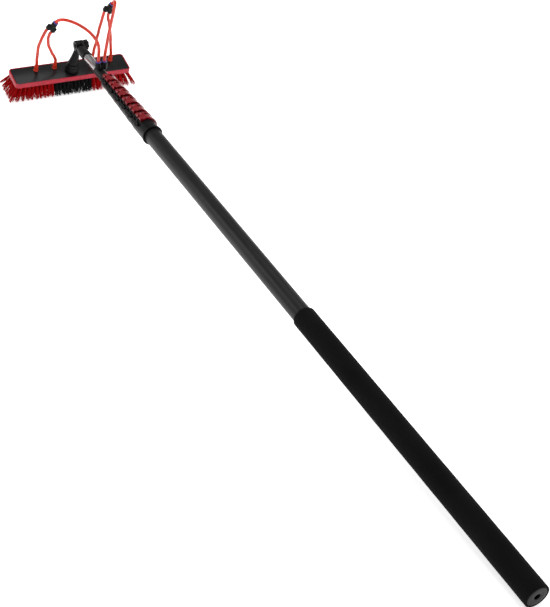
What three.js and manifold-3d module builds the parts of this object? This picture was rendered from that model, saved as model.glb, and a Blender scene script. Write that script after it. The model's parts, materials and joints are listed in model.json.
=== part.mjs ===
// Telescopic water-fed window cleaning pole: seven nested tubes with six flip clamps, a foam grip,
// an angle-adjustable neck and a four-jet brush. Millimetres, +Z up. The collapsed pole lies on the
// floor: the rim of its butt and the near edge of its bristles touch z = 0, and its head is towards +Y.
import * as THREE from 'three';
import { mergeVertices } from 'three/addons/utils/BufferGeometryUtils.js';
import Module from 'manifold-3d';

const wasm = await Module();
wasm.setup();

// ---------------------------------------------------------------- driving dimensions
const SECTION_COUNT = 7;
const BASE_RADIUS = 20;            // outside radius of the base tube
const RADIUS_STEP = 1.25;          // each inner tube is this much smaller in radius
const TUBE_WALL = 1;
const BASE_TOP = 1443;             // butt end to the lowest clamp's lower rim
const CLAMP_PITCH = 40;
const FIRST_CLAMP_LENGTH = 66;
const CLAMP_LENGTH = 38;
const FIRST_SLEEVE = 26.5;         // how far the lowest clamp is sleeved over the base tube
const SLEEVE = 9;
const CLAMP_WALL = 3;
const GLUE_GAP = 0.15;
const PART_GAP = 0.3;

const GRIP_RADIUS = 23.8;
const GRIP_LENGTH = 743;
const PLUG_LENGTH = 26;
const HOSE_OUTLET_RADIUS = 6;

const LEVER_LENGTH = 28;
const LEVER_TOP_SETBACK = 2.5;     // lever's upper end below the clamp's upper end
const LEVER_CLEARANCE = 0.4;
const LEVER_THICKNESS = 4.2;
const LEVER_TAB = 2.4;              // how far the free end stands out past the arm
const LEVER_HUB_RADIUS = 4.6;
const PIVOT_STANDOFF = 6;          // pivot axis outside the tube that carries the clamp
const PIVOT_ANGLE = 118;           // degrees round the tube, from +X towards +Z
const NUT_STANDOFF = 4.6;
const NUT_ANGLE = 160;
const NUT_RADIUS = 3.8;
const NUT_THICKNESS = 2.4;
const NUT_SEAT_RADIUS = 4.4;
const LEVER_END_ANGLE = -22;
const PIN_RADIUS = 2;
const SHANK_RADIUS = 1.8;

const HINGE_DISTANCE = 453;        // base top to the knuckle hinge
const TIP_TUBE_END = 321;          // these five are measured from the base top
const NECK_START = 276;
const NECK_END = 412;
const NECK_RING_START = 389;
const YOKE_START = 393.5;
const NECK_RADIUS = 11;
const NECK_WALL = 1.3;
const HUB_RADIUS = 13;
const HUB_INNER_X = 5.4;
const HUB_OUTER_X = -8;
const EAR_INNER_X = 6.2;
const EAR_OUTER_X = 14.2;
const KNOB_COLLAR = 2.2;           // the knob's narrow collar, between the ear and the lobes
const KNOB_COLLAR_RADIUS = 7.5;
const KNOB_WIDTH = 10;
const KNOB_LOBES = 6;
const BOLT_RADIUS = 3;
const BOLT_HEAD_RADIUS = 6;
const ARM_TOP_X = -1.3;
const ARM_FOOT_X = -6;
const ARM_STRAIGHT = 15;           // below this distance from the hinge the arm leans towards its foot
const SOCKET_HEIGHT = 24;
const SPIGOT_RADIUS = 8.5;

const BRUSH_TILT = 14;             // degrees that the brush leans back from square to the pole
const BRUSH_DROP = 81;             // hinge to the top face of the brush
const BRUSH_X = -8;
const BRUSH_Y = 4.5;               // brush centre past the hinge
const BRUSH_LENGTH = 312;
const BRUSH_WIDTH = 62;
const BLOCK_HEIGHT = 12;
const RIM = 3;
const PLATE_RECESS = 0.6;
const PLATE_THICKNESS = 2.4;
const BRISTLE_LENGTH = 38;
const BRISTLE_INSET = 4;
const BRISTLE_SIDE_FLARE = 10;     // how far the tips stand out past the block's long sides
const BRISTLE_END_FLARE = 20;
const BLACK_HALF_LENGTH = 56;      // the middle third of the bristles is black

const HOSE_RADIUS = 3.9;
const JET_X = [-89, -39, 63, 114];  // along the brush, from its centre
const JET_Y = 16.4;
const JET_HEIGHT = 16;
const POLE_Y_DISTANCE = 304;       // base top to the lower hose splitter
const OUTLET_SPACING = 16;
const OUTLET_RADIUS = 7.2;
const OUTLET_LENGTH = 17.2;
const SPLITTER_HEIGHT = 13.3;      // pole axis to the underside of the lower splitter
const STEM_RADIUS = 6;
const COLLET_RADIUS = 5.4;
const COLLET_FLANGE_RADIUS = 6.4;
const COLLET_SOCKET_RADIUS = 5.8;
const COLLET_SOCKET_DEPTH = 3.4;
const LEG_SPACING = 12.4;          // the next four belong to the upper splitters
const LEG_RADIUS = 6.6;
const UPPER_STEM_RADIUS = 7.2;
const UPPER_STEM_END = 15;

const TUBE_SIDES = 32;
const degrees = Math.PI / 180;

// Upper hose splitters and the centrelines of the six hoses, measured from the hinge in the pole's
// directions (across, along the pole, up).
const SPLITTERS = {
  left: { centre: [-69, -1, 61], direction: [0.36, -0.41, 0.84] },
  right: { centre: [80, -1, 92.5], direction: [0.25, -0.42, 0.87] },
};
const POLE_HOSES = {
  left_pole_hose: [
    [-8, -149, 27.4], [-8, -149, 36], [-7.5, -148, 44], [-5.5, -144, 52], [-2.5, -137, 59],
    [0.5, -126, 64], [2, -112, 68], [0, -97, 73], [-6, -80, 79], [-15, -64, 84], [-26, -50, 88],
    [-37, -38, 90], [-47, -28, 90], [-55, -19, 87], [-60, -12, 82], [-62.9, -8, 75.3],
    [-65.7, -4.8, 68.7],
  ],
  right_pole_hose: [
    [8, -149, 27.4], [8, -149, 36], [8.5, -148, 44], [12, -143, 53], [18, -134, 62], [26, -121, 72],
    [35, -107, 82], [45, -92, 92], [54, -78, 101], [62, -66, 108], [69, -55, 114], [75, -45, 118.5],
    [80, -36, 121], [83.5, -28, 121.5], [85.5, -21, 120], [86, -15, 117], [85.5, -10.3, 111.7],
    [84.3, -8.2, 107.3], [82.3, -4.9, 100.5],
  ],
};
const JET_HOSES = {
  jet_1_hose: [
    [-97, 31.5, -58.6], [-97, 29, -49], [-98, 27, -40], [-98, 25, -31], [-98, 23, -22], [-98, 21, -13],
    [-98, 19, -4], [-97, 17, 5], [-95, 15, 13], [-93, 13, 21], [-90, 12, 29], [-87, 11, 36],
    [-84, 10, 43], [-81, 8.5, 49], [-78.3, 6.3, 53.9],
  ],
  jet_2_hose: [
    [-47, 31.5, -58.6], [-47, 29, -49], [-50, 27, -41], [-54, 25, -33], [-59, 23, -25], [-63, 21, -16],
    [-67, 19, -8], [-71, 17, 1], [-73, 15, 9], [-74, 13, 17], [-75, 11, 25], [-74, 9, 32],
    [-73, 7, 38], [-71, 4.5, 43], [-68.6, 1.8, 47.6],
  ],
  jet_3_hose: [
    [55, 31.5, -58.6], [55, 29, -49], [55, 26, -38], [55, 23, -28], [56, 20, -18], [57, 17, -8],
    [57, 15, 2], [58, 13, 12], [60, 12, 22], [61, 11, 32], [63, 10, 42], [66, 10, 53], [68, 9, 64],
    [70, 8, 74], [71.4, 5.7, 84.2],
  ],
  jet_4_hose: [
    [106, 31.5, -58.6], [105, 29, -49], [103, 26, -39], [101, 23, -29], [99, 20, -20], [97, 17, -10],
    [96, 15, 0], [94, 13, 10], [92, 11, 20], [90, 10, 30], [88, 9, 40], [86, 8, 50], [83, 7.5, 60],
    [82, 6, 70], [82.4, 2.8, 79.2],
  ],
};

// ---------------------------------------------------------------- materials
const material = (color, roughness, metalness = 0) =>
  new THREE.MeshStandardMaterial({ color, roughness, metalness });
const carbon = material(0x3c3c3e, 0.45);
const foam = material(0x1a1a1b, 0.95);
const blackPlastic = material(0x141415, 0.5);
const darkPlastic = material(0x2a2b2c, 0.55);
const redGloss = material(0xb0101f, 0.25);
const crimson = material(0xc4203c, 0.4);
const plateGloss = material(0x2e2e30, 0.2);
const steel = material(0xb8babd, 0.3, 1);
const aluminium = material(0xc9cbce, 0.35, 1);
const redBristle = material(0xa80c14, 0.8);
const blackBristle = material(0x0d0d0e, 0.8);
const hoseRed = material(0xe23c22, 0.35);
const collarPurple = material(0x4b4a9c, 0.4);

// ---------------------------------------------------------------- solid helpers
function toManifold(geometry) {
  const bare = geometry.clone();
  bare.deleteAttribute('normal');
  bare.deleteAttribute('uv');
  const merged = mergeVertices(bare, 1e-4);
  const triangles = Array.from(merged.index.array);
  const position = merged.attributes.position.array;
  const kept = [];
  for (let i = 0; i < triangles.length; i += 3) {
    const [a, b, c] = triangles.slice(i, i + 3);
    if (a !== b && b !== c && c !== a) kept.push(a, b, c);
  }
  if (signedVolume(position, kept) < 0) {
    for (let i = 0; i < kept.length; i += 3) [kept[i + 1], kept[i + 2]] = [kept[i + 2], kept[i + 1]];
  }
  return new wasm.Manifold(new wasm.Mesh({
    numProp: 3,
    vertProperties: Float32Array.from(position),
    triVerts: Uint32Array.from(kept),
  }));
}

function signedVolume(position, triangles) {
  const corner = [new THREE.Vector3(), new THREE.Vector3(), new THREE.Vector3()];
  let volume = 0;
  for (let i = 0; i < triangles.length; i += 3) {
    corner.forEach((point, j) => point.fromArray(position, triangles[i + j] * 3));
    volume += corner[0].dot(corner[1].clone().cross(corner[2])) / 6;
  }
  return volume;
}

function toGeometry(manifold) {
  const result = manifold.getMesh();
  const geometry = new THREE.BufferGeometry();
  geometry.setAttribute('position', new THREE.BufferAttribute(Float32Array.from(result.vertProperties), 3));
  geometry.setIndex(Array.from(result.triVerts));
  geometry.computeVertexNormals();
  return geometry;
}

const hull = (...parts) => wasm.Manifold.hull(parts);
const join = (...parts) => parts.reduce((a, b) => a.add(b));
const cut = (body, ...tools) => tools.reduce((a, b) => a.subtract(b), body);

function piece(name, parent, shape, look) {
  const solid = shape instanceof THREE.BufferGeometry ? toManifold(shape) : shape;
  const mesh = new THREE.Mesh(toGeometry(solid), look.clone());
  mesh.name = name;
  parent.add(mesh);
}

// ---------------------------------------------------------------- shape helpers
// A solid of revolution about the pole's direction; profile points are [radius, distance along Y].
function lathe(profile, sides = TUBE_SIDES) {
  return toManifold(new THREE.LatheGeometry(profile.map(([r, y]) => new THREE.Vector2(r, y)), sides));
}

function tube(outer, inner, start, end, sides = TUBE_SIDES) {
  return lathe([[inner, start], [outer, start], [outer, end], [inner, end], [inner, start]], sides);
}

function rod(radius, start, end, sides = 16) {
  return lathe([[0, start], [radius, start], [radius, end], [0, end]], sides);
}

function moved(solid, x, y, z) {
  return solid.translate([x, y, z]);
}

// Turns a solid made along +Y so that it points along a direction, and moves it to a point.
function aimed(solid, direction, at) {
  const turn = new THREE.Quaternion().setFromUnitVectors(
    new THREE.Vector3(0, 1, 0), new THREE.Vector3(...direction).normalize());
  const matrix = new THREE.Matrix4().compose(new THREE.Vector3(...at), turn, new THREE.Vector3(1, 1, 1));
  return solid.transform(matrix.elements);
}

function box(width, depth, height, x, y, z) {
  const geometry = new THREE.BoxGeometry(width, depth, height);
  geometry.translate(x, y, z);
  return toManifold(geometry);
}

// Extrudes an outline drawn in the XZ plane along the pole, from start to end.
function alongPole(shape, start, end, curveSegments = 12) {
  const geometry = new THREE.ExtrudeGeometry(shape, {
    depth: end - start, bevelEnabled: false, curveSegments,
  });
  geometry.rotateX(Math.PI / 2);
  geometry.translate(0, end, 0);
  return toManifold(geometry);
}

function outline(points) {
  return new THREE.Shape(points.map(([a, b]) => new THREE.Vector2(a, b)));
}

const polar = (radius, angle) => [radius * Math.cos(angle * degrees), radius * Math.sin(angle * degrees)];

function hosePiece(name, parent, points) {
  const path = new THREE.CatmullRomCurve3(points.map((p) => new THREE.Vector3(...p)), false, 'centripetal');
  const section = new THREE.Shape();
  section.absarc(0, 0, HOSE_RADIUS, 0, 2 * Math.PI, false);
  const steps = Math.round(path.getLength() / (4 * HOSE_RADIUS));
  const geometry = new THREE.ExtrudeGeometry(section, {
    steps, curveSegments: 5, extrudePath: path, bevelEnabled: false,
  });
  piece(name, parent, geometry, hoseRed);
}

// ---------------------------------------------------------------- derived places
const tubeRadius = (section) => BASE_RADIUS - RADIUS_STEP * (section - 1);
const clampStart = (clamp) =>
  BASE_TOP + (clamp === 1 ? 0 : FIRST_CLAMP_LENGTH + 2 + CLAMP_PITCH * (clamp - 2));
const clampEnd = (clamp) => clampStart(clamp) + (clamp === 1 ? FIRST_CLAMP_LENGTH : CLAMP_LENGTH);
const sleeveEnd = (clamp) => clampStart(clamp) + (clamp === 1 ? FIRST_SLEEVE : SLEEVE);
const HINGE_Y = BASE_TOP + HINGE_DISTANCE;
const BRISTLE_TOP = -BRUSH_DROP - BLOCK_HEIGHT - PART_GAP;
const BRISTLE_BOTTOM = BRISTLE_TOP - BRISTLE_LENGTH;
const TIP_HALF_WIDTH = BRUSH_WIDTH / 2 + BRISTLE_SIDE_FLARE;

// ---------------------------------------------------------------- tubes and grip
function buildTubes(pole) {
  piece('base_tube', pole, tube(BASE_RADIUS, BASE_RADIUS - TUBE_WALL, 3, sleeveEnd(1) - PART_GAP), carbon);
  for (let section = 2; section <= SECTION_COUNT; section += 1) {
    const radius = tubeRadius(section);
    const start = PLUG_LENGTH + 4 + 2 * section;
    const end = section === SECTION_COUNT ? BASE_TOP + TIP_TUBE_END : sleeveEnd(section) - PART_GAP;
    const body = tube(radius, radius - TUBE_WALL, start, end);
    if (section < SECTION_COUNT) {
      piece(`section_${section}_tube`, pole, body, carbon);
    } else {
      piece('tip_tube', pole, cut(body, splitterPort()), carbon);
    }
  }
}

// The hole in the tip tube and the neck that the lower splitter's stem goes through.
function splitterPort() {
  return aimed(rod(STEM_RADIUS + PART_GAP, 0, 30), [0, 0, 1], [0, BASE_TOP + POLE_Y_DISTANCE, 0]);
}

function buildButt(pole) {
  const inner = BASE_RADIUS + GLUE_GAP;
  piece('grip_sleeve', pole, lathe([
    [inner, 0], [GRIP_RADIUS, 0], [GRIP_RADIUS, GRIP_LENGTH - 4], [GRIP_RADIUS - 2, GRIP_LENGTH],
    [inner, GRIP_LENGTH], [inner, 0],
  ]), foam);
  const spigot = BASE_RADIUS - TUBE_WALL - GLUE_GAP;
  piece('butt_plug', pole, lathe([
    [HOSE_OUTLET_RADIUS, 0.2], [BASE_RADIUS - 0.2, 0.2], [BASE_RADIUS - 0.2, 2.7], [spigot, 2.7],
    [spigot, PLUG_LENGTH], [HOSE_OUTLET_RADIUS, PLUG_LENGTH], [HOSE_OUTLET_RADIUS, 0.2],
  ]), blackPlastic);
}

// ---------------------------------------------------------------- flip clamps
// Each clamp is drawn round the pole's axis: a collar glued on one tube, split where it grips the next.
function clampFrame(clamp) {
  const radius = tubeRadius(clamp);
  const pivot = polar(radius + PIVOT_STANDOFF, PIVOT_ANGLE);
  const nut = polar(radius + NUT_STANDOFF, NUT_ANGLE);
  const reach = Math.hypot(nut[0] - pivot[0], nut[1] - pivot[1]);
  const toward = [(nut[0] - pivot[0]) / reach, (nut[1] - pivot[1]) / reach];
  const outward = [toward[1], -toward[0]];
  const leverEnd = clampEnd(clamp) - LEVER_TOP_SETBACK;
  const leverStart = leverEnd - LEVER_LENGTH;
  const middle = (leverStart + leverEnd) / 2;
  return { radius, pivot, nut, reach, toward, outward, leverStart, leverEnd, middle };
}

// Turns a solid made along +Y to lie along a clamp's screw, with its start on the pivot axis.
function alongScrew(frame, solid) {
  const { toward, pivot, middle } = frame;
  return aimed(solid, [toward[0], 0, toward[1]], [pivot[0], middle, pivot[1]]);
}

function onPivot(frame, solid) {
  return moved(solid, frame.pivot[0], 0, frame.pivot[1]);
}

// A block across the pole, placed from the nut seat: u runs along the bolt and w away from the tube.
function seatBlock(frame, [u0, u1], [w0, w1], start, end) {
  const corner = (u, w) => [
    frame.nut[0] + u * frame.toward[0] + w * frame.outward[0],
    frame.nut[1] + u * frame.toward[1] + w * frame.outward[1],
  ];
  return alongPole(outline([corner(u0, w0), corner(u1, w0), corner(u1, w1), corner(u0, w1)]), start, end);
}

function clampBody(clamp) {
  const frame = clampFrame(clamp);
  const start = clampStart(clamp);
  const end = clampEnd(clamp);
  const step = sleeveEnd(clamp);
  const outer = frame.radius + CLAMP_WALL;
  const lip = clamp === 1 ? 1.5 : 0.3;
  const sleeveBore = frame.radius + GLUE_GAP;
  const gripBore = tubeRadius(clamp + 1) + GLUE_GAP;
  const collar = lathe([
    [sleeveBore, start], [outer + lip, start], [outer + lip, start + 4], [outer, start + 5.5],
    [outer, end - 1.5], [outer - 1.5, end], [gripBore, end], [gripBore, step], [sleeveBore, step],
    [sleeveBore, start],
  ]);
  const lug = seatBlock(frame, [-6, 0], [-5, 3.4], frame.leverStart, frame.leverEnd);
  const core = rod(frame.radius + 1, frame.leverStart - 1, frame.leverEnd + 1, TUBE_SIDES);
  const slot = seatBlock(frame, [-8.4, -6], [-8, 7], step + 2, end + 1);
  const bore = alongScrew(frame, rod(SHANK_RADIUS + PART_GAP, -2, frame.reach + 4, 10));
  const relief = onPivot(frame,
    rod(LEVER_HUB_RADIUS + 0.5, frame.leverStart - 0.5, frame.leverEnd + 0.5, 20));
  const nutSeat = alongScrew(frame, rod(NUT_SEAT_RADIUS, frame.reach, frame.reach + 9, 12));
  return cut(join(collar, cut(lug, core)), slot, bore, relief, nutSeat);
}

// The lever wraps round the clamp from its hub; its window and its central slot are cut through.
function clampLever(clamp) {
  const frame = clampFrame(clamp);
  const inner = frame.radius + CLAMP_WALL + LEVER_CLEARANCE;
  const outer = inner + LEVER_THICKNESS;
  const shape = new THREE.Shape();
  shape.absarc(0, 0, outer, PIVOT_ANGLE * degrees, LEVER_END_ANGLE * degrees, true);
  const tab = polar(outer + LEVER_TAB, LEVER_END_ANGLE - 5);
  shape.lineTo(tab[0], tab[1]);
  const heel = polar(inner + 1.2, LEVER_END_ANGLE - 5);
  shape.lineTo(heel[0], heel[1]);
  shape.absarc(0, 0, inner, LEVER_END_ANGLE * degrees, PIVOT_ANGLE * degrees, false);
  const arm = alongPole(shape, frame.leverStart, frame.leverEnd, 14);
  const hub = onPivot(frame, rod(LEVER_HUB_RADIUS, frame.leverStart, frame.leverEnd));
  const pinBore = onPivot(frame, rod(PIN_RADIUS + PART_GAP, frame.leverStart - 1, frame.leverEnd + 1));
  const farSide = [262, 230, 200, 170, 140, 102].map((angle) => polar(12, angle));
  const sweep = outline([polar(2.2, 290), ...farSide, polar(2.2, 66)]);
  const shankSlot = onPivot(frame, alongPole(sweep, frame.middle - 2.6, frame.middle + 2.6));
  const windowAxis = polar(1, 76);
  const notch = aimed(rod(4.2, 0, outer + 6, 14),
    [windowAxis[0], 0, windowAxis[1]], [0, frame.leverEnd - 8, 0]);
  const corners = [frame.leverStart, frame.leverEnd].map((edge) =>
    box(14, 5, 16, outer * 0.93, edge, outer * Math.sin(LEVER_END_ANGLE * degrees) - 6));
  return cut(join(arm, hub), pinBore, shankSlot, notch, ...corners);
}

// Cross pin, threaded shank and nut, in one piece.
function clampBolt(clamp) {
  const frame = clampFrame(clamp);
  const pin = onPivot(frame, rod(PIN_RADIUS, frame.leverStart + 0.4, frame.leverEnd - 0.4, 12));
  const nutStart = frame.reach + PART_GAP;
  const nutEnd = nutStart + NUT_THICKNESS;
  const shank = alongScrew(frame, rod(SHANK_RADIUS, 0, nutEnd + 0.8, 10));
  const nut = alongScrew(frame, rod(NUT_RADIUS, nutStart, nutEnd, 6));
  return join(pin, shank, nut);
}

function buildClamps(pole) {
  for (let clamp = 1; clamp < SECTION_COUNT; clamp += 1) {
    piece(`clamp_${clamp}_body`, pole, clampBody(clamp), blackPlastic);
    piece(`clamp_${clamp}_lever`, pole, clampLever(clamp), redGloss);
    piece(`clamp_${clamp}_bolt`, pole, clampBolt(clamp), steel);
  }
}

// ---------------------------------------------------------------- neck, splitter and knuckle
function buildNeck(pole) {
  const at = (distance) => BASE_TOP + distance;
  const neckInner = NECK_RADIUS - NECK_WALL;
  const tubeBody = tube(NECK_RADIUS, neckInner, at(NECK_START), at(NECK_END));
  piece('neck_tube', pole, cut(tubeBody, splitterPort()), aluminium);
  piece('neck_ring', pole, lathe([
    [NECK_RADIUS + GLUE_GAP, at(NECK_RING_START)], [NECK_RADIUS + 2.2, at(NECK_RING_START)],
    [NECK_RADIUS + 2.6, at(NECK_RING_START) + 2], [NECK_RADIUS + 2.2, at(YOKE_START) - PART_GAP],
    [NECK_RADIUS + GLUE_GAP, at(YOKE_START) - PART_GAP], [NECK_RADIUS + GLUE_GAP, at(NECK_RING_START)],
  ]), blackPlastic);
  buildYoke(pole, at);
  buildKnuckleBolt(pole);
}

// The socket that holds the neck tube ends in one flat ear, beside the arm's hub.
function buildYoke(pole, at) {
  const bore = NECK_RADIUS + GLUE_GAP;
  const wall = bore + 1.6;
  const cup = lathe([
    [0, at(NECK_END) + 0.5], [bore, at(NECK_END) + 0.5], [bore, at(YOKE_START)], [wall, at(YOKE_START)],
    [wall, at(NECK_END) - 2], [wall - 1.2, at(NECK_END) + 14], [wall - 4.4, at(NECK_END) + 23],
    [0, at(NECK_END) + 25],
  ]);
  const disc = aimed(rod(HUB_RADIUS, EAR_INNER_X, EAR_OUTER_X, 24), [1, 0, 0], [0, HINGE_Y, 0]);
  const root = aimed(rod(9, EAR_INNER_X, EAR_INNER_X + 2.4, 24), [1, 0, 0], [0, at(NECK_END) + 11, 0]);
  const boltBore = aimed(rod(BOLT_RADIUS + PART_GAP, -5, 20, 12), [1, 0, 0], [0, HINGE_Y, 0]);
  piece('knuckle_yoke', pole, cut(join(cup, hull(disc, root)), boltBore), darkPlastic);
}

function buildKnuckleBolt(pole) {
  const collarStart = EAR_OUTER_X + PART_GAP;
  const start = collarStart + KNOB_COLLAR;
  const end = start + KNOB_WIDTH;
  const head = HUB_OUTER_X - PART_GAP;
  const bolt = join(
    rod(BOLT_RADIUS, head - 1, end - 1.5, 12),
    lathe([[0, head - 3.3], [BOLT_HEAD_RADIUS - 2, head - 2.7], [BOLT_HEAD_RADIUS, head], [0, head]], 16));
  piece('knuckle_bolt', pole, aimed(bolt, [1, 0, 0], [0, HINGE_Y, 0]), steel);
  const lobes = [];
  for (let i = 0; i < KNOB_LOBES; i += 1) {
    const [y, z] = polar(9.2, i * 360 / KNOB_LOBES);
    lobes.push(moved(rod(3.6, start, end, 10), y, 0, z));
  }
  const collar = rod(KNOB_COLLAR_RADIUS, collarStart, start + 1, 18);
  const blank = join(rod(9.5, start, end, 18), collar, ...lobes);
  const knob = cut(blank, rod(BOLT_RADIUS + PART_GAP, collarStart - 1, end - 1, 12));
  piece('knuckle_knob', pole, aimed(knob, [1, 0, 0], [0, HINGE_Y, 0]), blackPlastic);
}

// ---------------------------------------------------------------- hose splitters
// A push-in ring round a hose: the fitting's face is at 0, and the flange outside it is pressed inwards.
function collet() {
  const bore = HOSE_RADIUS + 0.5;
  return lathe([
    [bore, -2], [COLLET_RADIUS, -2], [COLLET_RADIUS, 1.6], [COLLET_FLANGE_RADIUS, 1.6],
    [COLLET_FLANGE_RADIUS, 3.2], [bore, 3.2], [bore, -2],
  ], 20);
}

// Two outlets side by side on one stem that goes into the pole.
function buildPoleSplitter(pole) {
  const y = BASE_TOP + POLE_Y_DISTANCE;
  const half = OUTLET_SPACING / 2;
  const sides = { left: -half, right: half };
  const outlets = Object.values(sides).map((x) => moved(rod(OUTLET_RADIUS, 0, OUTLET_LENGTH), x, 0, 0));
  const bridge = box(OUTLET_SPACING, 12, 12, 0, 6, 0);
  const stem = rod(STEM_RADIUS, -4, 6);
  const sockets = Object.values(sides).map((x) =>
    moved(rod(COLLET_SOCKET_RADIUS, OUTLET_LENGTH - COLLET_SOCKET_DEPTH, OUTLET_LENGTH + 2), x, 0, 0));
  const body = cut(join(...outlets, bridge, stem), ...sockets);
  piece('pole_splitter', pole, aimed(body, [0, 0, 1], [0, y, SPLITTER_HEIGHT]), blackPlastic);
  for (const [side, x] of Object.entries(sides)) {
    const face = [x, y, SPLITTER_HEIGHT + OUTLET_LENGTH];
    piece(`pole_collet_${side}`, pole, aimed(collet(), [0, 0, 1], face), collarPurple);
  }
}

// Each upper splitter joins two jet hoses (below) to one hose from the pole (above).
function buildUpperSplitter(head, side) {
  const { centre, direction } = SPLITTERS[side];
  const half = LEG_SPACING / 2;
  const legs = [-half, half].map((x) => moved(rod(LEG_RADIUS, -11, 0), x, 0, 0));
  const shoulder = box(LEG_SPACING, 10, 2 * LEG_RADIUS - 2, 0, -3, 0);
  const stem = rod(UPPER_STEM_RADIUS, -6, UPPER_STEM_END);
  const socket = rod(COLLET_SOCKET_RADIUS, UPPER_STEM_END - 6.2, UPPER_STEM_END + 2);
  const body = cut(join(...legs, shoulder, stem), socket);
  piece(`${side}_splitter`, head, aimed(body, direction, centre), blackPlastic);
  const along = new THREE.Vector3(...direction).setLength(UPPER_STEM_END);
  const face = along.add(new THREE.Vector3(...centre)).toArray();
  piece(`${side}_collet`, head, aimed(collet(), direction, face), collarPurple);
}

// ---------------------------------------------------------------- brush head
// The arm drops from its hub and leans sideways to its foot; its spigot goes into the brush's socket.
function buildArm(brush) {
  const hub = aimed(rod(HUB_RADIUS, HUB_OUTER_X, HUB_INNER_X, 24), [1, 0, 0], [0, 0, 0]);
  const boltBore = aimed(rod(BOLT_RADIUS + PART_GAP, -30, 30, 12), [1, 0, 0], [0, 0, 0]);
  const headRecess = aimed(rod(BOLT_HEAD_RADIUS + 0.6, -30, HUB_OUTER_X + 1), [1, 0, 0], [0, 0, 0]);
  const armEnd = BRUSH_DROP - SOCKET_HEIGHT - 0.5;
  const stem = lathe([
    [0, 0], [6.7, 0], [6.7, ARM_STRAIGHT], [7.4, 20], [8.8, 28], [10.3, 38], [12, 48], [13.4, armEnd],
    [0, armEnd],
  ], 24).warp((vertex) => {
    const share = Math.max(0, vertex[1] - ARM_STRAIGHT) / (armEnd - ARM_STRAIGHT);
    vertex[0] += ARM_TOP_X + (ARM_FOOT_X - ARM_TOP_X) * share ** 2;
  });
  const spigot = moved(rod(SPIGOT_RADIUS, armEnd - 0.5, armEnd + 12.5, 24), ARM_FOOT_X, 0, 0);
  const drop = aimed(join(stem, spigot), [0, 0, -1], [0, 0, 0]);
  piece('gooseneck_arm', brush, cut(join(hub, drop), boltBore, headRecess), blackPlastic);
  const bore = SPIGOT_RADIUS + PART_GAP;
  const foot = lathe([
    [bore, SOCKET_HEIGHT], [14.4, SOCKET_HEIGHT], [15.4, 15], [16.4, 14], [17, 8], [18.2, 7],
    [18.2, PART_GAP], [0, PART_GAP], [0, 10], [bore, 10], [bore, SOCKET_HEIGHT],
  ], 24);
  piece('brush_socket', brush, aimed(foot, [0, 0, 1], [ARM_FOOT_X, 0, -BRUSH_DROP]), blackPlastic);
}

function roundedRectangle(length, width, radius) {
  const a = length / 2 - radius;
  const b = width / 2 - radius;
  const shape = new THREE.Shape();
  shape.absarc(a, b, radius, 0, Math.PI / 2, false);
  shape.absarc(-a, b, radius, Math.PI / 2, Math.PI, false);
  shape.absarc(-a, -b, radius, Math.PI, 1.5 * Math.PI, false);
  shape.absarc(a, -b, radius, 1.5 * Math.PI, 2 * Math.PI, false);
  return shape;
}

function slab(length, width, radius, bottom, top) {
  const geometry = new THREE.ExtrudeGeometry(roundedRectangle(length, width, radius), {
    depth: top - bottom, bevelEnabled: false, curveSegments: 5,
  });
  geometry.translate(BRUSH_X, BRUSH_Y, bottom);
  return toManifold(geometry);
}

function buildBlock(brush) {
  const top = -BRUSH_DROP;
  const block = slab(BRUSH_LENGTH, BRUSH_WIDTH, 9, top - BLOCK_HEIGHT, top + PLATE_RECESS);
  const pocketFloor = top - PLATE_THICKNESS;
  const pocket = slab(BRUSH_LENGTH - 2 * RIM, BRUSH_WIDTH - 2 * RIM, 6.5, pocketFloor, top + 5);
  piece('brush_block', brush, cut(block, pocket), crimson);
  const inset = 2 * (RIM + PART_GAP);
  piece('top_plate', brush,
    slab(BRUSH_LENGTH - inset, BRUSH_WIDTH - inset, 6.2, pocketFloor + PART_GAP, top), plateGloss);
}

// One flared body of bristles between two places along the brush, given at the root and at the tip.
function bristleBody([rootA, rootB], [tipA, tipB]) {
  const rootHalf = BRUSH_WIDTH / 2 - BRISTLE_INSET;
  const geometry = new THREE.BoxGeometry(1, 1, 1);
  const position = geometry.attributes.position;
  for (let i = 0; i < position.count; i += 1) {
    const atRoot = position.getZ(i) > 0;
    const [a, b] = atRoot ? [rootA, rootB] : [tipA, tipB];
    const x = position.getX(i) < 0 ? a : b;
    const y = Math.sign(position.getY(i)) * (atRoot ? rootHalf : TIP_HALF_WIDTH);
    position.setXYZ(i, BRUSH_X + x, BRUSH_Y + y, atRoot ? BRISTLE_TOP : BRISTLE_BOTTOM);
  }
  return toManifold(geometry);
}

function buildBristles(brush) {
  const rootEnd = BRUSH_LENGTH / 2 - BRISTLE_INSET;
  const tipEnd = BRUSH_LENGTH / 2 + BRISTLE_END_FLARE;
  const near = BLACK_HALF_LENGTH + 0.5;
  piece('bristles_left', brush, bristleBody([-rootEnd, -near], [-tipEnd, -near]), redBristle);
  const middle = [-BLACK_HALF_LENGTH, BLACK_HALF_LENGTH];
  piece('bristles_middle', brush, bristleBody(middle, middle), blackBristle);
  piece('bristles_right', brush, bristleBody([near, rootEnd], [near, tipEnd]), redBristle);
}

function buildJets(brush) {
  JET_X.forEach((x, i) => {
    const boot = lathe([
      [0, PART_GAP], [6.4, PART_GAP], [6.4, 2.5], [5.2, 4], [4.8, JET_HEIGHT], [0, JET_HEIGHT],
    ], 20);
    piece(`jet_${i + 1}`, brush, aimed(boot, [0, 0, 1], [BRUSH_X + x, JET_Y, -BRUSH_DROP]), hoseRed);
  });
}

// ---------------------------------------------------------------- assembly
const object = new THREE.Group();
const pole = new THREE.Group();
object.add(pole);

buildTubes(pole);
buildButt(pole);
buildClamps(pole);
buildNeck(pole);
buildPoleSplitter(pole);

const hinge = new THREE.Group();
hinge.position.set(0, HINGE_Y, 0);
pole.add(hinge);

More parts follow.
